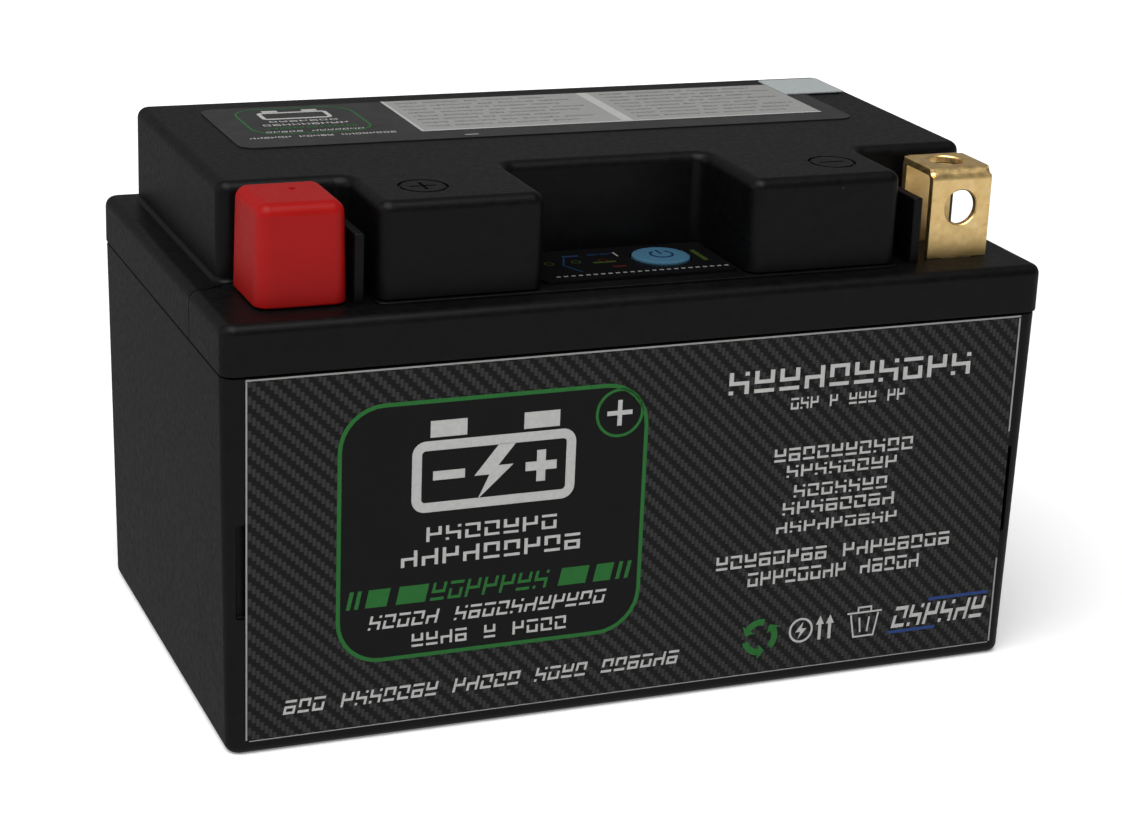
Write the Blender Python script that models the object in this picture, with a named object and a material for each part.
"""Motorcycle battery: a 12.8 V lithium iron phosphate pack in a 150 x 87 x 93 mm case.

The frame's origin is the centre of the underside. +X runs along the length to the negative
terminal's end, -Y is the front with the two terminals and the test panel, and +Z is up.
Sizes below are in millimetres and are turned into metres where objects are made.
"""

import math

import bmesh
import bpy
from mathutils import Matrix, Vector

MM = 0.001

# Overall size
LENGTH = 150.0
WIDTH = 87.0
HEIGHT = 93.0
CLEARANCE = 0.3
SEATED = 0.01
CUT_FROM_Z = 50.0
CUT_THROUGH = 50.0
PLAN_RADIUS = 2.5

# Case
SEAM_Z = 66.7
SEAM_GAP = 0.3
CASE_WALL = 2.2
CASE_FLOOR = 2.2
CASE_TOP_HALF_LENGTH = 74.9
CASE_FOOT_HALF_LENGTH = 74.0
CASE_TOP_FRONT = -42.95
CASE_TOP_BACK = 43.4
CASE_DRAFT_Y = 0.35
CASE_FOOT_RADIUS = 1.6
HOLLOW_RADIUS = 1.5
POCKET_LOW_Z = 24.7
POCKET_HIGH_Z = 41.4
POCKET_WIDTH = 6.5
POCKET_DEPTH = 1.2
POCKET_CENTRES = (-69.4, 68.9)

# Cover: ledge, raised block and skirt
LEDGE_Z = 75.4
LEDGE_THICKNESS = 2.0
LEDGE_EDGE_RADIUS = 1.8
BLOCK_TOP_Z = 92.5
BLOCK_WALL = 2.0
BLOCK_EDGE_RADIUS = 2.0
BLOCK_TOP_RADIUS = 1.8
BLOCK_LEFT = -69.4
BLOCK_RIGHT = 70.2
BLOCK_BACK = 40.6
BLOCK_FRONT = -37.6
NOTCH_BACK = -19.3
LEFT_NOTCH_INNER = -47.3
RIGHT_NOTCH_INNER = 48.2
RECESS_LEFT = -18.4
RECESS_RIGHT = 19.5
RECESS_BACK = -16.2
TONGUE_WALL = 1.4
TONGUE_DEPTH = 4.2
TONGUE_RADIUS = 1.2
ROOM_RADIUS = 1.0
COVER_SPLIT_Y = -21.9
COVER_SPLIT_GAP = 0.3
WALL_LIP = 0.3
PAD_HEIGHT = 0.45
PAD_FRONT = -38.3
MARK_RADIUS = 4.3
MARK_LINE = 0.55
MARK_DEPTH = 0.35
MARK_BAR = 4.6
POSITIVE_MARK = (-36.9, -28.2)
NEGATIVE_MARK = (39.1, -27.8)

# Terminals: folded brass straps
STRAP_THICKNESS = 1.4
STRAP_WIDTH = 12.0
STRAP_FRONT = -34.7
STRAP_BACK = -21.3
STRAP_TOP_Z = 91.7
STRAP_BEND = 2.2
STRAP_FOOT_Z = 66.6
STRAP_FOOT_BACK = -9.0
STRAP_TAB_WIDTH = 6.0
STRAP_TAB_Z = 72.0
RELIEF_WIDTH = 1.2
RELIEF_HEIGHT = 2.1
RELIEF_REACH = 2.4
BACK_RELIEF_LOW_Z = 71.0
FOOT_HOLE_Y = -14.0
FOOT_HOLE_RADIUS = 2.3
FOOT_SCREW_HEAD = (3.6, 2.2)
FOOT_SCREW_SHANK_RADIUS = 1.95
FOOT_SCREW_LOW_Z = 60.0
FOOT_SCREW_SLOT = (0.8, 1.0)
FOOT_NUT_Z = 61.6
FOOT_NUT = (4.0, 2.6)
BOLT_HOLE_RADIUS = 3.25
FRONT_HOLE_Z = 84.6
POSITIVE_X = -59.8
NEGATIVE_X = 61.9
RIB_THICKNESS = 1.8
RIB_TOP_Z = 87.3
RIB_FRONT = -36.5
RIB_BACK = -20.4
RIB_CENTRES = (-50.3, 52.3)

# Terminal cap
CAP_WIDTH = 15.6
CAP_FRONT = -36.8
CAP_BACK = -20.1
CAP_TOP_Z = 93.0
CAP_TAPER = 0.4
CAP_RADIUS = 1.8
CAP_ROOF = 1.0

# Test panel
FILM_FRONT = -34.9
FILM_BACK = -17.1
FILM_LEFT = -17.2
FILM_RIGHT = 18.6
FILM_THICKNESS = 0.25
FILM_Z = 76.1
BUTTON_CENTRE = (8.4, -24.7)
BUTTON_RADIUS = 5.2
BUTTON_TOP_Z = 76.9
BUTTON_FLANGE_RADIUS = 6.2
BUTTON_FLANGE = 1.0
BUTTON_EDGE = 0.4
TEST_SWITCH_WIDTH = 6.0
TEST_SWITCH_HEIGHT = 2.0
SWITCH_STEM_RADIUS = 1.6
SWITCH_STEM_HEIGHT = 1.4
LAMP_XS = (-12.5, -7.5, -2.5)
LAMP_Y = -24.5
LAMP_WINDOW_RADIUS = 1.5
LAMP_RADIUS = 1.1
LAMP_EDGE = 0.5
LAMP_BASE_WIDTH = 3.2
LAMP_BASE_HEIGHT = 0.9

# Labels
LABEL_THICKNESS = 0.2
FRONT_LABEL_LEFT = -71.1
FRONT_LABEL_RIGHT = 71.3
FRONT_LABEL_LOW_Z = 2.5
FRONT_LABEL_HIGH_Z = 66.3
TOP_LABEL_HALF_LENGTH = 59.5
TOP_LABEL_FRONT = 2.7
TOP_LABEL_BACK = 33.4
STICKER_LEFT = 55.0
STICKER_RIGHT = 68.0
STICKER_FRONT = 23.9
STICKER_BACK = 36.5

# Cells and what packs them
CELL_LENGTH = 112.0
CELL_THICKNESS = 9.6
CELL_HEIGHT = 56.0
CELL_PITCH = 13.0
CELL_LOW_Z = 4.6
CELL_RADIUS = 2.0
CELL_COUNT = 4
POST_X = 40.0
POST_RADIUS = 3.5
POST_HEIGHT = 2.0
LINK_THICKNESS = 0.8
LINK_WIDTH = 10.0
LINK_OVERHANG = 4.5
HUMP_WIDTH = 4.0
HUMP_HEIGHT = 0.6
SPACER_THICKNESS = 2.6
SPACER_INSET = 4.0
FOAM_HIGH_Z = 58.0
FOAM_GAP = 0.5

# Plates, lugs and leads
PLATE_THICKNESS = 1.2
LUG_HALF_WIDTH = 4.0
LUG_NECK = 5.5
BARREL_RADIUS = 2.6
BARREL_LENGTH = 5.0
BARREL_WALL = 0.7
BARREL_FLOOR = 0.8
LEAD_RADIUS = 1.6
SENSE_WIRE_RADIUS = 0.55
PANEL_LEAD_RADIUS = 0.9

# Boards
BOARD_THICKNESS = 1.6
CONTROL_BOARD_Z = 79.0
CONTROL_BOARD = ((-38.0, -10.0), (44.0, 27.0))
CONTROL_SCREWS = ((-34.0, -6.0), (40.0, -6.0), (-34.0, 23.0), (40.0, 23.0))
PANEL_BOARD_Z = 66.9
PANEL_BOARD = ((-16.5, -34.5), (18.0, -12.0))
PANEL_SCREWS = ((-13.6, -31.6), (16.0, -19.7))
BOSS_RADIUS = 2.6
POWER_SWITCH_COUNT = 4
POWER_SWITCH_FIRST_X = -26.0
POWER_SWITCH_PITCH = 13.0
PLUG_HEIGHT = 6.0
SCREW_RADIUS = 1.0
SCREW_HEAD_RADIUS = 2.0
SCREW_HEAD_HEIGHT = 1.4
SCREW_GRIP = 3.0

ROUND_STEPS = 32
SMALL_STEPS = 16
CORNER_STEPS = 4

POST_TOP_Z = CELL_LOW_Z + CELL_HEIGHT + POST_HEIGHT
LINK_Z = POST_TOP_Z + CLEARANCE
LINK_TOP_Z = LINK_Z + LINK_THICKNESS
PAD_Z = LEDGE_Z + PAD_HEIGHT
BLOCK_LOW_Z = PAD_Z + CLEARANCE
LEDGE_UNDER_Z = LEDGE_Z - LEDGE_THICKNESS
BLOCK_INNER_Z = BLOCK_TOP_Z - BLOCK_WALL


# ---------------------------------------------------------------- scene and materials

def clear_scene():
    for thing in list(bpy.data.objects):
        bpy.data.objects.remove(thing, do_unlink=True)


def new_collection(name):
    collection = bpy.data.collections.new(name)
    bpy.context.scene.collection.children.link(collection)
    return collection


def make_material(name, colour, roughness, metallic=0.0):
    material = bpy.data.materials.new(name)
    material.use_nodes = True
    shader = material.node_tree.nodes["Principled BSDF"]
    shader.inputs["Base Color"].default_value = (*colour, 1.0)
    shader.inputs["Roughness"].default_value = roughness
    shader.inputs["Metallic"].default_value = metallic
    material.diffuse_color = (*colour, 1.0)
    return material


clear_scene()
PARTS = new_collection("motorcycle_battery")
CUTTERS = new_collection("cutters")

BLACK_PLASTIC = make_material("black_plastic", (0.018, 0.018, 0.020), 0.45)
BRASS = make_material("brass", (0.62, 0.45, 0.20), 0.35, 1.0)
RED_VINYL = make_material("red_vinyl", (0.48, 0.010, 0.012), 0.45)
LABEL_FILM = make_material("label_film", (0.045, 0.045, 0.045), 0.35)
PANEL_FILM = make_material("panel_film", (0.010, 0.010, 0.012), 0.25)
STICKER_PAPER = make_material("sticker_paper", (0.30, 0.31, 0.34), 0.55)
BLUE_FILM = make_material("blue_film", (0.25, 0.50, 0.62), 0.35)
CELL_WRAP = make_material("cell_wrap", (0.05, 0.16, 0.34), 0.40)
NICKEL = make_material("nickel", (0.62, 0.60, 0.56), 0.30, 1.0)
COPPER = make_material("copper", (0.72, 0.36, 0.22), 0.35, 1.0)
STEEL = make_material("steel", (0.55, 0.55, 0.56), 0.30, 1.0)
BOARD_GREEN = make_material("board_green", (0.02, 0.14, 0.06), 0.45)
CHIP_BLACK = make_material("chip_black", (0.02, 0.02, 0.02), 0.50)
WHITE_NYLON = make_material("white_nylon", (0.75, 0.74, 0.70), 0.50)
GREY_FOAM = make_material("grey_foam", (0.12, 0.12, 0.13), 0.90)
RED_WIRE = make_material("red_wire", (0.50, 0.02, 0.02), 0.45)
BLACK_WIRE = make_material("black_wire", (0.02, 0.02, 0.02), 0.45)
GREEN_LAMP = make_material("green_lamp", (0.10, 0.50, 0.12), 0.25)
YELLOW_LAMP = make_material("yellow_lamp", (0.65, 0.48, 0.05), 0.25)
RED_LAMP = make_material("red_lamp", (0.60, 0.04, 0.03), 0.25)


# ---------------------------------------------------------------- shape tools

def place(name, mesh, material, collection):
    thing = bpy.data.objects.new(name, mesh)
    if material is not None:
        mesh.materials.append(material)
    collection.objects.link(thing)
    if collection == CUTTERS:
        thing.hide_render = True
        thing.display_type = "WIRE"
    return thing


def mesh_from(shape, name):
    mesh = bpy.data.meshes.new(name)
    shape.to_mesh(mesh)
    shape.free()
    return mesh


def add_box(name, low, high, material=None, collection=None):
    """A box from its lowest to its highest corner."""
    shape = bmesh.new()
    bmesh.ops.create_cube(shape, size=1.0)
    size = [(high[axis] - low[axis]) * MM for axis in range(3)]
    middle = Vector([(high[axis] + low[axis]) * MM / 2 for axis in range(3)])
    bmesh.ops.scale(shape, vec=size, verts=shape.verts)
    thing = place(name, mesh_from(shape, name), material, collection or CUTTERS)
    thing.location = middle
    return thing


def add_cylinder(name, start, radius, length, axis="Z", steps=ROUND_STEPS, material=None,
                 collection=None):
    """A cylinder that runs from the centre of its first end, along +axis."""
    turn = {"X": Matrix.Rotation(math.radians(90), 3, "Y"),
            "Y": Matrix.Rotation(math.radians(-90), 3, "X"),
            "Z": Matrix.Identity(3)}[axis]
    shape = bmesh.new()
    bmesh.ops.create_cone(shape, cap_ends=True, segments=steps, radius1=radius * MM,
                          radius2=radius * MM, depth=length * MM)
    bmesh.ops.translate(shape, verts=shape.verts, vec=(0, 0, length * MM / 2))
    bmesh.ops.rotate(shape, verts=shape.verts, cent=(0, 0, 0), matrix=turn)
    thing = place(name, mesh_from(shape, name), material, collection or CUTTERS)
    thing.location = Vector(start) * MM
    return thing


def add_hole(name, centre, radius, steps=SMALL_STEPS):
    """A long upright cutter through everything at one place in plan."""
    return add_cylinder(name, (*centre, CUT_FROM_Z), radius, CUT_THROUGH, steps=steps)


def add_prism(name, outline, low_z, high_z, material=None, collection=None):
    """An outline in plan, made solid between two heights."""
    shape = bmesh.new()
    corners = [shape.verts.new((x * MM, y * MM, low_z * MM)) for x, y in outline]
    floor = shape.faces.new(corners)
    lifted = bmesh.ops.extrude_face_region(shape, geom=[floor])["geom"]
    tops = [item for item in lifted if isinstance(item, bmesh.types.BMVert)]
    bmesh.ops.translate(shape, verts=tops, vec=(0, 0, (high_z - low_z) * MM))
    bmesh.ops.recalc_face_normals(shape, faces=shape.faces)
    return place(name, mesh_from(shape, name), material, collection or CUTTERS)


def rounded_rectangle(low, high, radius, steps=CORNER_STEPS):
    """The points of a rectangle with round corners, anticlockwise."""
    points = []
    centres = ((high[0] - radius, high[1] - radius, 0), (low[0] + radius, high[1] - radius, 90),
               (low[0] + radius, low[1] + radius, 180), (high[0] - radius, low[1] + radius, 270))
    for x, y, first in centres:
        for step in range(steps + 1):
            angle = math.radians(first + 90 * step / steps)
            points.append((x + radius * math.cos(angle), y + radius * math.sin(angle)))
    return points


def bevel_edges(thing, chosen, width, steps):
    """Rounds the edges for which chosen(middle, direction) is true, in millimetres."""
    shape = bmesh.new()
    shape.from_mesh(thing.data)
    edges = []
    for edge in shape.edges:
        first, second = (vertex.co / MM for vertex in edge.verts)
        if chosen((first + second) / 2, (second - first).normalized()):
            edges.append(edge)
    bmesh.ops.bevel(shape, geom=edges, offset=width * MM, offset_type="OFFSET",
                    segments=steps, profile=0.5, affect="EDGES", clamp_overlap=True)
    shape.to_mesh(thing.data)
    shape.free()


def boolean(thing, tool, operation):
    modifier = thing.modifiers.new(tool.name, "BOOLEAN")
    modifier.operation = operation
    modifier.solver = "EXACT"
    modifier.object = tool


def cut(thing, *tools):
    for tool in tools:
        boolean(thing, tool, "DIFFERENCE")


def join(thing, *tools):
    for tool in tools:
        boolean(thing, tool, "UNION")


def keep_inside(thing, tool):
    boolean(thing, tool, "INTERSECT")


def settle(thing):
    """Turns an object's modifiers into its mesh."""
    bpy.context.view_layer.update()
    evaluated = thing.evaluated_get(bpy.context.evaluated_depsgraph_get())
    mesh = bpy.data.meshes.new_from_object(evaluated)
    mesh.name = thing.name
    thing.modifiers.clear()
    thing.data = mesh


def add_tube(name, points, radius, material):
    """A wire along a smooth run of points, with flat capped ends."""
    curve = bpy.data.curves.new(name, "CURVE")
    curve.dimensions = "3D"
    curve.bevel_depth = radius * MM
    curve.bevel_resolution = 1
    curve.use_fill_caps = True
    curve.resolution_u = 1
    curve.render_resolution_u = 0
    spline = curve.splines.new("POLY")
    spline.points.add(len(points) - 1)
    for item, point in zip(spline.points, points):
        item.co = (*(Vector(point) * MM), 1.0)
    drawn = bpy.data.objects.new(name + "_line", curve)
    CUTTERS.objects.link(drawn)
    bpy.context.view_layer.update()
    evaluated = drawn.evaluated_get(bpy.context.evaluated_depsgraph_get())
    mesh = bpy.data.meshes.new_from_object(evaluated)
    bpy.data.objects.remove(drawn)
    shape = bmesh.new()
    shape.from_mesh(mesh)
    bmesh.ops.remove_doubles(shape, verts=shape.verts, dist=0.00001)
    bmesh.ops.recalc_face_normals(shape, faces=shape.faces)
    shape.to_mesh(mesh)
    shape.free()
    mesh.materials.clear()
    return place(name, mesh, material, PARTS)


def smooth_run(stops, steps=5):
    """Points on a Catmull-Rom curve through the stops."""
    ends = [Vector(stop) for stop in stops]
    ends = [2 * ends[0] - ends[1], *ends, 2 * ends[-1] - ends[-2]]
    points = []
    for before, start, end, after in zip(ends, ends[1:], ends[2:], ends[3:]):
        for step in range(steps):
            t = step / steps
            points.append(0.5 * (2 * start + (end - before) * t
                                 + (2 * before - 5 * start + 4 * end - after) * t ** 2
                                 + (3 * start - before - 3 * end + after) * t ** 3))
    points.append(ends[-2])
    return points


def is_upright(direction):
    return abs(direction.z) > 0.999


# ---------------------------------------------------------------- case

def add_case():
    low = (-CASE_TOP_HALF_LENGTH, CASE_TOP_FRONT)
    high = (CASE_TOP_HALF_LENGTH, CASE_TOP_BACK)
    top_z = SEAM_Z - SEAM_GAP / 2
    case = add_prism("case", rounded_rectangle(low, high, PLAN_RADIUS), 0, top_z,
                     BLACK_PLASTIC, PARTS)
    middle_y = (CASE_TOP_FRONT + CASE_TOP_BACK) / 2 * MM
    half_width = (CASE_TOP_BACK - CASE_TOP_FRONT) / 2
    for vertex in case.data.vertices:
        if vertex.co.z < top_z * MM / 2:
            vertex.co.x *= CASE_FOOT_HALF_LENGTH / CASE_TOP_HALF_LENGTH
            vertex.co.y = middle_y + (vertex.co.y - middle_y) * (half_width - CASE_DRAFT_Y) / half_width
    bevel_edges(case, lambda middle, direction: middle.z < 0.01, CASE_FOOT_RADIUS, 3)
    hollow_low = (-CASE_FOOT_HALF_LENGTH + CASE_WALL, low[1] + CASE_DRAFT_Y + CASE_WALL)
    hollow_high = (CASE_FOOT_HALF_LENGTH - CASE_WALL, high[1] - CASE_DRAFT_Y - CASE_WALL)
    hollow = add_prism("case_hollow", rounded_rectangle(hollow_low, hollow_high, HOLLOW_RADIUS),
                       CASE_FLOOR, top_z + 5)
    cut(case, hollow)
    for number, x in enumerate(POCKET_CENTRES, 1):
        pocket_floor = CASE_TOP_FRONT + CASE_DRAFT_Y / 2 + POCKET_DEPTH
        pocket = add_box(f"case_pocket_{number}",
                         (x - POCKET_WIDTH / 2, CASE_TOP_FRONT - 3, POCKET_LOW_Z),
                         (x + POCKET_WIDTH / 2, pocket_floor, POCKET_HIGH_Z))
        cut(case, pocket)
    settle(case)
    return hollow_low, hollow_high


# ---------------------------------------------------------------- cover and front ledge

def block_outline(inset):
    """The raised block in plan, with its two terminal notches and the test panel's recess."""
    left, right = BLOCK_LEFT + inset, BLOCK_RIGHT - inset
    back, front = BLOCK_BACK - inset, BLOCK_FRONT + inset
    return [(right, back), (left, back), (left, NOTCH_BACK + inset),
            (LEFT_NOTCH_INNER + inset, NOTCH_BACK + inset), (LEFT_NOTCH_INNER + inset, front),
            (RECESS_LEFT - inset, front), (RECESS_LEFT - inset, RECESS_BACK + inset),
            (RECESS_RIGHT + inset, RECESS_BACK + inset), (RECESS_RIGHT + inset, front),
            (RIGHT_NOTCH_INNER - inset, front), (RIGHT_NOTCH_INNER - inset, NOTCH_BACK + inset),
            (right, NOTCH_BACK + inset)]


def ledge_outline(shrink):
    """The front ledge in plan: it fills the notches and the recess back to their walls."""
    edge = LENGTH / 2 + 5
    side = COVER_SPLIT_Y - shrink
    notch = NOTCH_BACK - WALL_LIP - COVER_SPLIT_GAP / 2 - shrink
    recess = RECESS_BACK - WALL_LIP - COVER_SPLIT_GAP / 2 - shrink
    left = BLOCK_LEFT - WALL_LIP - COVER_SPLIT_GAP / 2
    right = BLOCK_RIGHT + WALL_LIP + COVER_SPLIT_GAP / 2
    tab_left = RECESS_LEFT + WALL_LIP + COVER_SPLIT_GAP / 2 + shrink
    tab_right = RECESS_RIGHT - WALL_LIP - COVER_SPLIT_GAP / 2 - shrink
    front = -WIDTH / 2 - 5
    return [(-edge, front), (edge, front), (edge, side), (right - shrink, side), (right - shrink, notch),
            (tab_right, notch), (tab_right, recess), (tab_left, recess), (tab_left, notch),
            (left + shrink, notch), (left + shrink, side), (-edge, side)]


def add_cover_blank(name, hollow_low, hollow_high):
    """The whole skirt with its ledge and the tongue that locates it in the case."""
    low, high = (-LENGTH / 2, -WIDTH / 2), (LENGTH / 2, WIDTH / 2)
    blank = add_prism(name, rounded_rectangle(low, high, PLAN_RADIUS), SEAM_Z + SEAM_GAP / 2, LEDGE_Z,
                      BLACK_PLASTIC, PARTS)
    bevel_edges(blank, lambda middle, direction: middle.z > LEDGE_Z - 0.01, LEDGE_EDGE_RADIUS, 3)
    tongue_low = (hollow_low[0] + CLEARANCE, hollow_low[1] + CLEARANCE)
    tongue_high = (hollow_high[0] - CLEARANCE, hollow_high[1] - CLEARANCE)
    tongue = add_prism(name + "_tongue", rounded_rectangle(tongue_low, tongue_high, TONGUE_RADIUS),
                       SEAM_Z - TONGUE_DEPTH, SEAM_Z + 2)
    join(blank, tongue)
    room_low = (tongue_low[0] + TONGUE_WALL, tongue_low[1] + TONGUE_WALL)
    room_high = (tongue_high[0] - TONGUE_WALL, tongue_high[1] - TONGUE_WALL)
    room = add_prism(name + "_room", rounded_rectangle(room_low, room_high, ROOM_RADIUS),
                     SEAM_Z - TONGUE_DEPTH - 5, LEDGE_UNDER_Z)
    return blank, room


def add_polarity_mark(cover, centre, positive):
    """An engraved ring with a plus or a minus sign in it."""
    x, y = centre
    floor = BLOCK_TOP_Z - MARK_DEPTH
    sign = "positive" if positive else "negative"
    ring = add_cylinder(f"{sign}_mark_ring", (x, y, floor), MARK_RADIUS, 2)
    core = add_cylinder(f"{sign}_mark_core", (x, y, floor - 1), MARK_RADIUS - MARK_LINE, 4)
    cut(ring, core)
    settle(ring)
    half, line = MARK_BAR / 2, MARK_LINE / 2
    bar = add_box(f"{sign}_mark_bar", (x - half, y - line, floor), (x + half, y + line, floor + 2))
    cut(cover, ring, bar)
    if positive:
        for number, side in enumerate((-1, 1), 1):
            near, far = sorted((side * line, side * half))
            arm = add_box(f"mark_arm_{number}", (x - line, y + near, floor),
                          (x + line, y + far, floor + 2))
            cut(cover, arm)


def add_cover(hollow_low, hollow_high):
    cover, room = add_cover_blank("lid", hollow_low, hollow_high)
    block = add_prism("lid_block", block_outline(0), LEDGE_UNDER_Z + 0.5, BLOCK_TOP_Z)
    bevel_edges(block, lambda middle, direction: is_upright(direction), BLOCK_EDGE_RADIUS, 3)
    bevel_edges(block, lambda middle, direction: middle.z > BLOCK_TOP_Z - 0.01, BLOCK_TOP_RADIUS, 3)
    join(cover, block)
    cut(cover, room)
    inner = add_prism("lid_inner", block_outline(BLOCK_WALL), LEDGE_UNDER_Z - 5, BLOCK_INNER_Z)
    cut(cover, inner)
    front = add_prism("lid_front_cut", ledge_outline(-COVER_SPLIT_GAP / 2), SEAM_Z - 20, BLOCK_LOW_Z)
    cut(cover, front)
    add_polarity_mark(cover, POSITIVE_MARK, True)
    add_polarity_mark(cover, NEGATIVE_MARK, False)
    board_top = CONTROL_BOARD_Z + BOARD_THICKNESS
    for number, (x, y) in enumerate(CONTROL_SCREWS, 1):
        boss = add_cylinder(f"lid_boss_{number}", (x, y, board_top + CLEARANCE), BOSS_RADIUS,
                            BLOCK_INNER_Z + 0.5 - board_top - CLEARANCE, steps=SMALL_STEPS)
        pilot = add_cylinder(f"lid_pilot_{number}", (x, y, board_top - 1), SCREW_RADIUS + CLEARANCE,
                             SCREW_GRIP + 3.5, steps=SMALL_STEPS)
        join(cover, boss)
        cut(cover, pilot)
    settle(cover)


def add_front_ledge(hollow_low, hollow_high):
    """The front ledge carries both terminals and the test panel."""
    ledge, room = add_cover_blank("front_ledge", hollow_low, hollow_high)
    cut(ledge, room)
    pad = add_box("ledge_pad", (LEFT_NOTCH_INNER - 0.2, PAD_FRONT, LEDGE_Z - 1),
                  (RIGHT_NOTCH_INNER + 0.3, NOTCH_BACK + 8, PAD_Z))
    join(ledge, pad)
    for number, middle in enumerate(RIB_CENTRES, 1):
        rib = add_box(f"ledge_rib_{number}", (middle - RIB_THICKNESS / 2, RIB_FRONT, LEDGE_Z - 1),
                      (middle + RIB_THICKNESS / 2, RIB_BACK, RIB_TOP_Z))
        join(ledge, rib)
    keep_inside(ledge, add_prism("ledge_limit", ledge_outline(COVER_SPLIT_GAP / 2), SEAM_Z - 20, HEIGHT))
    half, tab_half = STRAP_WIDTH / 2 + CLEARANCE, STRAP_TAB_WIDTH / 2 + CLEARANCE
    for name, x in (("positive", POSITIVE_X), ("negative", NEGATIVE_X)):
        leg = add_box(f"{name}_leg_slot",
                      (x - half, STRAP_BACK - STRAP_THICKNESS - CLEARANCE, CUT_FROM_Z),
                      (x + half, STRAP_BACK + CLEARANCE, PAD_Z + 5))
        tab = add_box(f"{name}_tab_slot", (x - tab_half, STRAP_FRONT - CLEARANCE, CUT_FROM_Z),
                      (x + tab_half, STRAP_FRONT + STRAP_THICKNESS + CLEARANCE, PAD_Z + 5))
        cut(ledge, leg, tab)
    cut(ledge, add_hole("button_bore", BUTTON_CENTRE, BUTTON_RADIUS + CLEARANCE, steps=ROUND_STEPS))
    for number, x in enumerate(LAMP_XS, 1):
        cut(ledge, add_hole(f"lamp_bore_{number}", (x, LAMP_Y), LAMP_WINDOW_RADIUS))
    board_top = PANEL_BOARD_Z + BOARD_THICKNESS
    for number, (x, y) in enumerate(PANEL_SCREWS, 1):
        boss = add_cylinder(f"ledge_boss_{number}", (x, y, board_top + CLEARANCE), BOSS_RADIUS,
                            LEDGE_UNDER_Z + 0.5 - board_top - CLEARANCE, steps=SMALL_STEPS)
        pilot = add_cylinder(f"ledge_pilot_{number}", (x, y, board_top - 1), SCREW_RADIUS + CLEARANCE,
                             SCREW_GRIP + 3, steps=SMALL_STEPS)
        join(ledge, boss)
        cut(ledge, pilot)
    settle(ledge)


# ---------------------------------------------------------------- terminals and cap

def strap_profile():
    """The folded strap from the side, as (y, z): front plate, top, back plate and inner foot."""
    bend, thick = STRAP_BEND, STRAP_THICKNESS
    front, back, top = STRAP_FRONT, STRAP_BACK, STRAP_TOP_Z
    foot = STRAP_FOOT_Z
    outer, inner = [], []
    for centre_y, first in ((front + bend, 180), (back - bend, 90)):
        for step in range(CORNER_STEPS + 1):
            angle = math.radians(first - 90 * step / CORNER_STEPS)
            across, up = math.cos(angle), math.sin(angle)
            outer.append((centre_y + bend * across, top - bend + bend * up))
            inner.append((centre_y + (bend - thick) * across, top - bend + (bend - thick) * up))
    outer = [(front, LEDGE_Z + CLEARANCE), *outer, (back, foot + thick), (STRAP_FOOT_BACK, foot + thick)]
    inner = [(front + thick, LEDGE_Z + CLEARANCE), *inner, (back - thick, foot), (STRAP_FOOT_BACK, foot)]
    return outer + inner[::-1]


def add_strap(name, x):
    shape = bmesh.new()
    corners = [shape.verts.new(((x - STRAP_WIDTH / 2) * MM, y * MM, z * MM)) for y, z in strap_profile()]
    side = shape.faces.new(corners)
    lifted = bmesh.ops.extrude_face_region(shape, geom=[side])["geom"]
    moved = [item for item in lifted if isinstance(item, bmesh.types.BMVert)]
    bmesh.ops.translate(shape, verts=moved, vec=(STRAP_WIDTH * MM, 0, 0))
    bmesh.ops.recalc_face_normals(shape, faces=shape.faces)
    strap = place(name, mesh_from(shape, name), BRASS, PARTS)
    tab = add_box(f"{name}_tab", (x - STRAP_TAB_WIDTH / 2, STRAP_FRONT + SEATED, STRAP_TAB_Z),
                  (x + STRAP_TAB_WIDTH / 2, STRAP_FRONT + STRAP_THICKNESS - SEATED, LEDGE_Z + 1))
    join(strap, tab)
    middle_y = (STRAP_FRONT + STRAP_BACK) / 2
    half = STRAP_WIDTH / 2
    for number, (side_x, near_y) in enumerate(((-1, STRAP_FRONT), (1, STRAP_FRONT), (-1, STRAP_BACK),
                                               (1, STRAP_BACK)), 1):
        inward = 1 if near_y == STRAP_FRONT else -1
        low_x, high_x = sorted((x + side_x * (half - RELIEF_WIDTH), x + side_x * (half + 1)))
        low_y, high_y = sorted((near_y - inward, near_y + inward * RELIEF_REACH))
        low_z = STRAP_TOP_Z - RELIEF_HEIGHT if near_y == STRAP_FRONT else BACK_RELIEF_LOW_Z
        cut(strap, add_box(f"{name}_relief_{number}", (low_x, low_y, low_z),
                           (high_x, high_y, STRAP_TOP_Z + 1)))
    cut(strap, add_cylinder(f"{name}_front_hole", (x, STRAP_FRONT - 2, FRONT_HOLE_Z), BOLT_HOLE_RADIUS,
                            6, "Y"))
    cut(strap, add_cylinder(f"{name}_top_hole", (x, middle_y, STRAP_TOP_Z - 4), BOLT_HOLE_RADIUS, 6))
    cut(strap, add_cylinder(f"{name}_foot_hole", (x, FOOT_HOLE_Y, CUT_FROM_Z), FOOT_HOLE_RADIUS,
                            PAD_Z - CUT_FROM_Z, steps=SMALL_STEPS))
    settle(strap)


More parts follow.
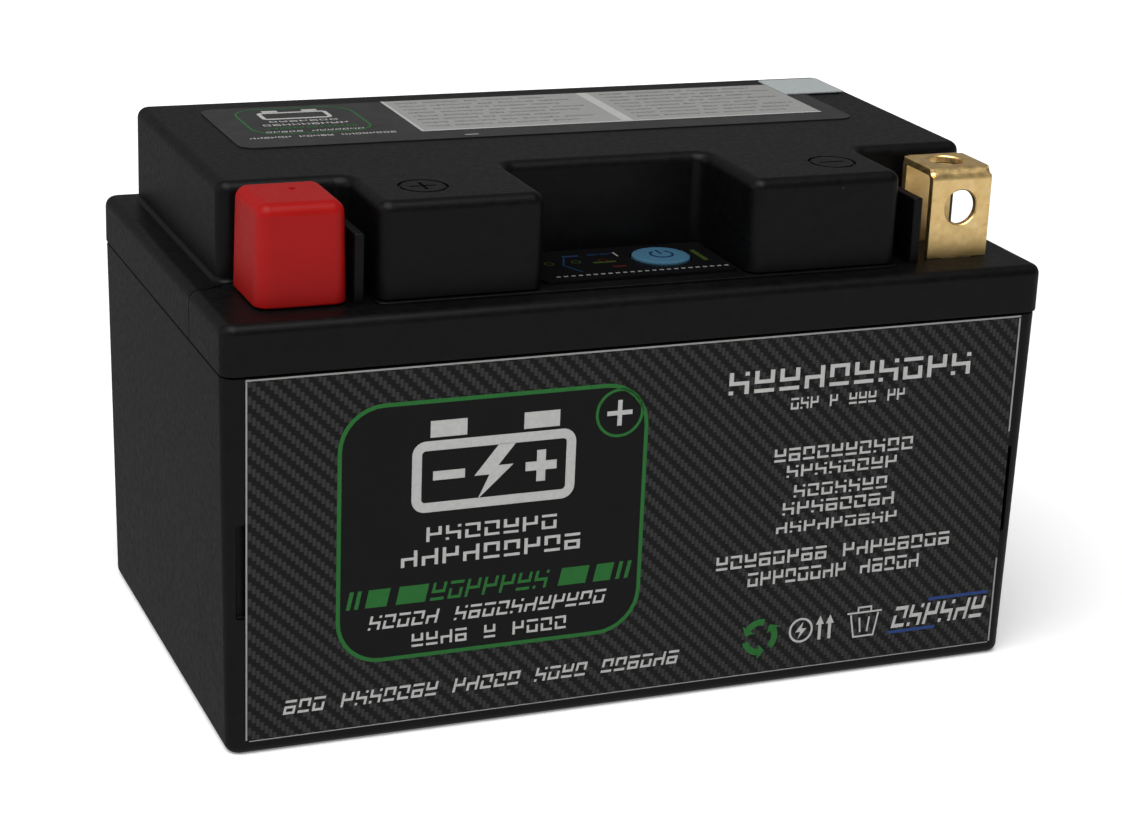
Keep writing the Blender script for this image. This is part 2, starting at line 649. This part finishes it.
def add_cap():
    """The slip-on cap: a tapered box, open underneath."""
    x = POSITIVE_X
    low, high = (x - CAP_WIDTH / 2, CAP_FRONT), (x + CAP_WIDTH / 2, CAP_BACK)
    foot = LEDGE_Z + CLEARANCE
    cap = add_prism("terminal_cap", rounded_rectangle(low, high, CAP_RADIUS), foot, CAP_TOP_Z,
                    RED_VINYL, PARTS)
    middle = Vector((x, (CAP_FRONT + CAP_BACK) / 2)) * MM
    half = Vector((CAP_WIDTH, CAP_BACK - CAP_FRONT)) / 2
    for vertex in cap.data.vertices:
        if vertex.co.z > 0.085:
            vertex.co.x = middle.x + (vertex.co.x - middle.x) * (half.x - CAP_TAPER) / half.x
            vertex.co.y = middle.y + (vertex.co.y - middle.y) * (half.y - CAP_TAPER) / half.y
    bevel_edges(cap, lambda middle, direction: middle.z > CAP_TOP_Z - 0.01, CAP_RADIUS, 3)
    inner_low = (x - STRAP_WIDTH / 2 - CLEARANCE, STRAP_FRONT - CLEARANCE)
    inner_high = (x + STRAP_WIDTH / 2 + CLEARANCE, STRAP_BACK + CLEARANCE)
    cut(cap, add_box("cap_hollow", (*inner_low, foot - 3), (*inner_high, CAP_TOP_Z - CAP_ROOF)))
    settle(cap)


def add_foot_fastening(name, x):
    """The screw and nut that clamp a lug or bar under a terminal's inner foot."""
    head_radius, head_height = FOOT_SCREW_HEAD
    slot_width, slot_depth = FOOT_SCREW_SLOT
    nut_radius, nut_height = FOOT_NUT
    y = FOOT_HOLE_Y
    foot_top = STRAP_FOOT_Z + STRAP_THICKNESS + CLEARANCE
    screw = add_cylinder(f"{name}_screw", (x, y, foot_top), head_radius, head_height, steps=SMALL_STEPS,
                         material=STEEL, collection=PARTS)
    shank = add_cylinder(f"{name}_screw_shank", (x, y, FOOT_SCREW_LOW_Z), FOOT_SCREW_SHANK_RADIUS,
                         foot_top + head_height / 2 - FOOT_SCREW_LOW_Z, steps=SMALL_STEPS)
    slot = add_box(f"{name}_screw_slot",
                   (x - head_radius - 1, y - slot_width / 2, foot_top + head_height - slot_depth),
                   (x + head_radius + 1, y + slot_width / 2, foot_top + head_height + 1))
    join(screw, shank)
    cut(screw, slot)
    settle(screw)
    nut = add_cylinder(f"{name}_nut", (x, y, FOOT_NUT_Z), nut_radius, nut_height, steps=6,
                       material=STEEL, collection=PARTS)
    cut(nut, add_hole(f"{name}_nut_bore", (x, y), FOOT_HOLE_RADIUS))
    settle(nut)


# ---------------------------------------------------------------- test panel

def add_test_panel():
    film = add_box("indicator_film", (FILM_LEFT, FILM_FRONT, FILM_Z),
                   (FILM_RIGHT, FILM_BACK, FILM_Z + FILM_THICKNESS), PANEL_FILM, PARTS)
    cut(film, add_hole("film_hole", BUTTON_CENTRE, BUTTON_RADIUS + CLEARANCE, steps=ROUND_STEPS))
    settle(film)

    flange_top = LEDGE_UNDER_Z - CLEARANCE
    button_low = flange_top - BUTTON_FLANGE / 5
    button = add_cylinder("test_button", (0, 0, 0), BUTTON_RADIUS, BUTTON_TOP_Z - button_low,
                          material=BLUE_FILM, collection=PARTS)
    bevel_edges(button, lambda middle, direction: middle.z > BUTTON_TOP_Z - flange_top, BUTTON_EDGE, 2)
    button.location = Vector((*BUTTON_CENTRE, button_low)) * MM
    join(button, add_cylinder("button_flange", (*BUTTON_CENTRE, flange_top - BUTTON_FLANGE),
                              BUTTON_FLANGE_RADIUS, BUTTON_FLANGE))
    settle(button)

    low, high = PANEL_BOARD
    board = add_box("indicator_board", (*low, PANEL_BOARD_Z), (*high, PANEL_BOARD_Z + BOARD_THICKNESS),
                    BOARD_GREEN, PARTS)
    for number, centre in enumerate(PANEL_SCREWS, 1):
        cut(board, add_hole(f"panel_hole_{number}", centre, SCREW_RADIUS + CLEARANCE))
    settle(board)

    x, y = BUTTON_CENTRE
    base = PANEL_BOARD_Z + BOARD_THICKNESS + CLEARANCE
    half = TEST_SWITCH_WIDTH / 2
    switch = add_box("test_switch", (x - half, y - half, base),
                     (x + half, y + half, base + TEST_SWITCH_HEIGHT), CHIP_BLACK, PARTS)
    join(switch, add_cylinder("switch_stem", (x, y, base + TEST_SWITCH_HEIGHT / 2), SWITCH_STEM_RADIUS,
                              SWITCH_STEM_HEIGHT, steps=SMALL_STEPS))
    settle(switch)

    lamp_height = PAD_Z - CLEARANCE - base
    half = LAMP_BASE_WIDTH / 2
    paints = (GREEN_LAMP, YELLOW_LAMP, RED_LAMP)
    for name, lamp_x, paint in zip(("green", "yellow", "red"), LAMP_XS, paints):
        lamp = add_cylinder(f"lamp_{name}", (lamp_x, LAMP_Y, base), LAMP_RADIUS, lamp_height,
                            steps=SMALL_STEPS, material=paint, collection=PARTS)
        bevel_edges(lamp, lambda middle, direction: middle.z > lamp_height - 0.1, LAMP_EDGE, 2)
        base_plate = add_box(f"lamp_{name}_base", (lamp_x - half, LAMP_Y - half, base),
                             (lamp_x + half, LAMP_Y + half, base + LAMP_BASE_HEIGHT))
        join(lamp, base_plate)
        settle(lamp)


def add_screw(name, x, y, underside):
    """A small pan-head screw that comes up through a board into its boss."""
    head_low = underside - CLEARANCE - SCREW_HEAD_HEIGHT
    shank_low = underside - CLEARANCE - SCREW_HEAD_HEIGHT / 2
    screw = add_cylinder(name, (x, y, head_low), SCREW_HEAD_RADIUS, SCREW_HEAD_HEIGHT, steps=SMALL_STEPS,
                         material=STEEL, collection=PARTS)
    shank = add_cylinder(f"{name}_shank", (x, y, shank_low), SCREW_RADIUS,
                         underside + BOARD_THICKNESS + CLEARANCE + SCREW_GRIP - shank_low,
                         steps=SMALL_STEPS)
    join(screw, shank)
    settle(screw)


# ---------------------------------------------------------------- labels

def add_labels():
    label = add_box("front_label", (FRONT_LABEL_LEFT, -LABEL_THICKNESS, FRONT_LABEL_LOW_Z),
                    (FRONT_LABEL_RIGHT, 0, FRONT_LABEL_HIGH_Z), LABEL_FILM, PARTS)
    lean = math.atan2(CASE_DRAFT_Y, SEAM_Z)
    middle_z = (FRONT_LABEL_LOW_Z + FRONT_LABEL_HIGH_Z) / 2
    face_y = CASE_TOP_FRONT + CASE_DRAFT_Y * (1 - middle_z / SEAM_Z)
    label.rotation_euler = (lean, 0, 0)
    label.location.y = (face_y - CLEARANCE + 0.05 - LABEL_THICKNESS / 2) * MM

    label_z = BLOCK_TOP_Z + CLEARANCE
    top = add_box("top_label", (-TOP_LABEL_HALF_LENGTH, TOP_LABEL_FRONT, label_z),
                  (TOP_LABEL_HALF_LENGTH, TOP_LABEL_BACK, label_z + LABEL_THICKNESS), LABEL_FILM, PARTS)
    bevel_edges(top, lambda middle, direction: is_upright(direction), 3.0, 4)
    cut(top, add_box("label_corner", (STICKER_LEFT - CLEARANCE, STICKER_FRONT - CLEARANCE, 80),
                     (STICKER_RIGHT + 5, STICKER_BACK + 5, 100)))
    settle(top)
    add_box("corner_sticker", (STICKER_LEFT, STICKER_FRONT, label_z),
            (STICKER_RIGHT, STICKER_BACK, label_z + LABEL_THICKNESS), STICKER_PAPER, PARTS)


# ---------------------------------------------------------------- cells and packing

def cell_y(number):
    return (number - (CELL_COUNT + 1) / 2) * CELL_PITCH


def add_cells():
    half = CELL_LENGTH / 2
    for number in range(1, CELL_COUNT + 1):
        y = cell_y(number)
        outline = rounded_rectangle((-half, y - CELL_THICKNESS / 2), (half, y + CELL_THICKNESS / 2),
                                    CELL_RADIUS)
        cell = add_prism(f"cell_{number}", outline, CELL_LOW_Z, CELL_LOW_Z + CELL_HEIGHT, CELL_WRAP, PARTS)
        for side, x in (("left", -POST_X), ("right", POST_X)):
            join(cell, add_cylinder(f"cell_{number}_{side}_post", (x, y, POST_TOP_Z - POST_HEIGHT - 1),
                                    POST_RADIUS, POST_HEIGHT + 1, steps=SMALL_STEPS))
        settle(cell)
    for number in range(1, CELL_COUNT):
        x = POST_X if number % 2 else -POST_X
        low_x, high_x = x - LINK_WIDTH / 2, x + LINK_WIDTH / 2
        link = add_box(f"cell_link_{number}", (low_x, cell_y(number) - LINK_OVERHANG, LINK_Z),
                       (high_x, cell_y(number + 1) + LINK_OVERHANG, LINK_TOP_Z), NICKEL, PARTS)
        middle_y = (cell_y(number) + cell_y(number + 1)) / 2
        hump = add_box(f"cell_link_{number}_hump",
                       (low_x + SEATED, middle_y - HUMP_WIDTH / 2, LINK_TOP_Z - HUMP_HEIGHT),
                       (high_x - SEATED, middle_y + HUMP_WIDTH / 2, LINK_TOP_Z + HUMP_HEIGHT))
        join(link, hump)
        settle(link)
        add_box(f"cell_spacer_{number}",
                (-half + SPACER_INSET, middle_y - SPACER_THICKNESS / 2, CELL_LOW_Z),
                (half - SPACER_INSET, middle_y + SPACER_THICKNESS / 2, FOAM_HIGH_Z), GREY_FOAM, PARTS)


def add_packing():
    """A pad under the cells and four foam sheets between them and the case's walls."""
    stack = cell_y(CELL_COUNT) + CELL_THICKNESS / 2
    half = CELL_LENGTH / 2
    wall_x = CASE_FOOT_HALF_LENGTH - CASE_WALL - FOAM_GAP
    wall_front = CASE_TOP_FRONT + CASE_DRAFT_Y + CASE_WALL + FOAM_GAP
    wall_back = CASE_TOP_BACK - CASE_DRAFT_Y - CASE_WALL - FOAM_GAP
    sheets = (("bottom_pad", (-wall_x, wall_front), (wall_x, wall_back),
               CASE_FLOOR + CLEARANCE, CELL_LOW_Z - CLEARANCE),
              ("front_foam", (-half, wall_front), (half, -stack - FOAM_GAP), CELL_LOW_Z, FOAM_HIGH_Z),
              ("rear_foam", (-half, stack + FOAM_GAP), (half, wall_back), CELL_LOW_Z, FOAM_HIGH_Z),
              ("left_foam", (-wall_x, -stack), (-half - FOAM_GAP, stack), CELL_LOW_Z, FOAM_HIGH_Z),
              ("right_foam", (half + FOAM_GAP, -stack), (wall_x, stack), CELL_LOW_Z, FOAM_HIGH_Z))
    for name, low, high, low_z, high_z in sheets:
        add_box(name, (*low, low_z), (*high, high_z), GREY_FOAM, PARTS)


# ---------------------------------------------------------------- wiring and control board

def add_positive_bar():
    """A flat copper bar from the first cell's post to the positive terminal's foot."""
    x, y = POSITIVE_X, FOOT_HOLE_Y
    top = STRAP_FOOT_Z - CLEARANCE
    low = top - PLATE_THICKNESS
    post_x, post_y = -POST_X, cell_y(1)
    bar = add_box("positive_bar", (x - 6, y - 8.5, low), (x + 6, y + 5, top), COPPER, PARTS)
    bridge = add_box("positive_bar_bridge", (x + 5, post_y - 3, low + SEATED),
                     (post_x - 6, post_y + 4.5, top - SEATED))
    drop = add_box("positive_bar_drop", (post_x - 7, post_y - 3.5, LINK_Z + SEATED),
                   (post_x - 5, post_y + 4, top - 2 * SEATED))
    land = add_box("positive_bar_land", (post_x - 6.9, post_y - 4, LINK_Z),
                   (post_x + 5, post_y + 4.3, LINK_TOP_Z))
    join(bar, bridge, drop, land)
    cut(bar, add_hole("positive_bar_hole", (x, y), FOOT_HOLE_RADIUS))
    settle(bar)


def add_lug(name, eye, lead_from, plate_low):
    """A ring lug: a flat eye and a barrel that points along +Y or -X towards its lead."""
    x, y = eye
    along = "Y" if lead_from[1] else "X"
    way = lead_from[1] or lead_from[0]
    axis = 1 if along == "Y" else 0
    low = [x - LUG_HALF_WIDTH, y - LUG_HALF_WIDTH]
    high = [x + LUG_HALF_WIDTH, y + LUG_HALF_WIDTH]
    if way > 0:
        high[axis] += LUG_NECK
    else:
        low[axis] -= LUG_NECK
    lug = add_box(name, (*low, plate_low), (*high, plate_low + PLATE_THICKNESS), NICKEL, PARTS)
    start = [x, y, plate_low + BARREL_RADIUS]
    start[axis] += BARREL_LENGTH if way > 0 else -2 * BARREL_LENGTH
    barrel = add_cylinder(f"{name}_barrel", start, BARREL_RADIUS, BARREL_LENGTH, along, SMALL_STEPS)
    start[axis] += BARREL_FLOOR if way > 0 else -BARREL_FLOOR - 1
    bore = add_cylinder(f"{name}_bore", start, BARREL_RADIUS - BARREL_WALL, BARREL_LENGTH + 1, along,
                        SMALL_STEPS)
    join(lug, barrel)
    cut(lug, bore)
    cut(lug, add_hole(f"{name}_eye", (x, y), FOOT_HOLE_RADIUS))
    settle(lug)


def add_control_board():
    low, high = CONTROL_BOARD
    top = CONTROL_BOARD_Z + BOARD_THICKNESS
    seat = top + CLEARANCE
    board = add_box("control_board", (*low, CONTROL_BOARD_Z), (*high, top), BOARD_GREEN, PARTS)
    for number, centre in enumerate(CONTROL_SCREWS, 1):
        cut(board, add_hole(f"control_hole_{number}", centre, SCREW_RADIUS + CLEARANCE))
    settle(board)
    for number in range(POWER_SWITCH_COUNT):
        x = POWER_SWITCH_FIRST_X + POWER_SWITCH_PITCH * number
        name = f"power_switch_{number + 1}"
        switch = add_box(name, (x - 5, -4, seat), (x + 5, 5.5, seat + 4), CHIP_BLACK, PARTS)
        tab = add_box(f"{name}_tab", (x - 4.6, 5, seat + SEATED), (x + 4.6, 9.5, seat + 1.3))
        join(switch, tab)
        settle(switch)
    add_box("balance_chip", (24, 12, seat), (33, 20, seat + 1.4), CHIP_BLACK, PARTS)
    add_box("balance_plug", (-7, 5, CONTROL_BOARD_Z - CLEARANCE - PLUG_HEIGHT),
            (7, 11, CONTROL_BOARD_Z - CLEARANCE), WHITE_NYLON, PARTS)


def add_sense_wires():
    """Five wires fan out from the balance plug to the joints between the cells."""
    plug_z = CONTROL_BOARD_Z - 2 * CLEARANCE - PLUG_HEIGHT
    plug_y = 8
    routes = ((-4, -POST_X, cell_y(1) + 1.5, 70.9),
              (-2, -POST_X, (cell_y(2) + cell_y(3)) / 2 + 3.6, 69.2),
              (0, -POST_X + 2.6, cell_y(4) - 2, 67.5),
              (4, POST_X, (cell_y(1) + cell_y(2)) / 2 + 3.6, 70.9),
              (2, POST_X, (cell_y(3) + cell_y(4)) / 2 - 3.6, 69.2))
    for number, (pin_x, x, y, level) in enumerate(routes, 1):
        side = 1 if x > 0 else -1
        on_lug = number == 3
        landing = LINK_TOP_Z + CLEARANCE + (PLATE_THICKNESS if on_lug else 0)
        lean = (y - plug_y) * 0.15
        stops = [(pin_x, plug_y, plug_z), (pin_x, plug_y, level + 0.8),
                 (pin_x + side * 6, plug_y + lean, level), (x - side * 8, y - lean, level - 0.6),
                 (x, y, landing + 1.6), (x, y, landing)]
        add_tube(f"sense_wire_{number}", smooth_run(stops, 4), SENSE_WIRE_RADIUS,
                 RED_WIRE if number == 1 else BLACK_WIRE)


def add_leads():
    """The two heavy negative leads and the flat one between the boards."""
    board_top = CONTROL_BOARD_Z + BOARD_THICKNESS + CLEARANCE
    x, y = -POST_X, cell_y(CELL_COUNT)
    rear_stops = [(x - 6.4, y, LINK_Z + 2.6), (x - 14, y, LINK_Z + 3.4), (x - 18, y + 1, 69.5),
                  (x - 15, y, 75.0), (x - 3, y - 2, 83.6), (x + 7, y - 3, 84.6), (x + 10, y - 4, 82.5),
                  (x + 10, y - 4, board_top)]
    add_tube("cell_negative_lead", smooth_run(rear_stops), LEAD_RADIUS, BLACK_WIRE)

    x = NEGATIVE_X
    lug_z = STRAP_FOOT_Z - CLEARANCE - PLATE_THICKNESS + BARREL_RADIUS
    out_stops = [(x, -7.4, lug_z), (x, -2, lug_z + 0.4), (x - 1.5, 3.5, 70.5), (x - 5, 7, 77.0),
                 (x - 13, 8, 83.4), (x - 22, 8, 85.0), (x - 27, 8, 83.0), (x - 27, 8, board_top)]
    add_tube("output_negative_lead", smooth_run(out_stops), LEAD_RADIUS, BLACK_WIRE)

    panel_top = PANEL_BOARD_Z + BOARD_THICKNESS + CLEARANCE
    panel_stops = [(2, -8.0, CONTROL_BOARD_Z - CLEARANCE), (2, -8.3, 76.0), (2, -12.0, 71.8),
                   (2, -13.2, 70.2), (2, -13.4, panel_top)]
    add_tube("indicator_lead", smooth_run(panel_stops, 4), PANEL_LEAD_RADIUS, WHITE_NYLON)


# ---------------------------------------------------------------- the whole battery

def build():
    hollow_low, hollow_high = add_case()
    add_cover(hollow_low, hollow_high)
    add_front_ledge(hollow_low, hollow_high)
    add_strap("positive_terminal", POSITIVE_X)
    add_strap("negative_terminal", NEGATIVE_X)
    add_cap()
    add_foot_fastening("positive", POSITIVE_X)
    add_foot_fastening("negative", NEGATIVE_X)
    add_test_panel()
    for number, (x, y) in enumerate(PANEL_SCREWS, 1):
        add_screw(f"indicator_screw_{number}", x, y, PANEL_BOARD_Z)
    add_labels()
    add_cells()
    add_packing()
    add_positive_bar()
    add_lug("negative_lug", (NEGATIVE_X, FOOT_HOLE_Y), (0, 1),
            STRAP_FOOT_Z - CLEARANCE - PLATE_THICKNESS)
    add_lug("cell_lug", (-POST_X, cell_y(CELL_COUNT)), (-1, 0), LINK_Z)
    add_control_board()
    for number, (x, y) in enumerate(CONTROL_SCREWS, 1):
        add_screw(f"board_screw_{number}", x, y, CONTROL_BOARD_Z)
    add_sense_wires()
    add_leads()


build()
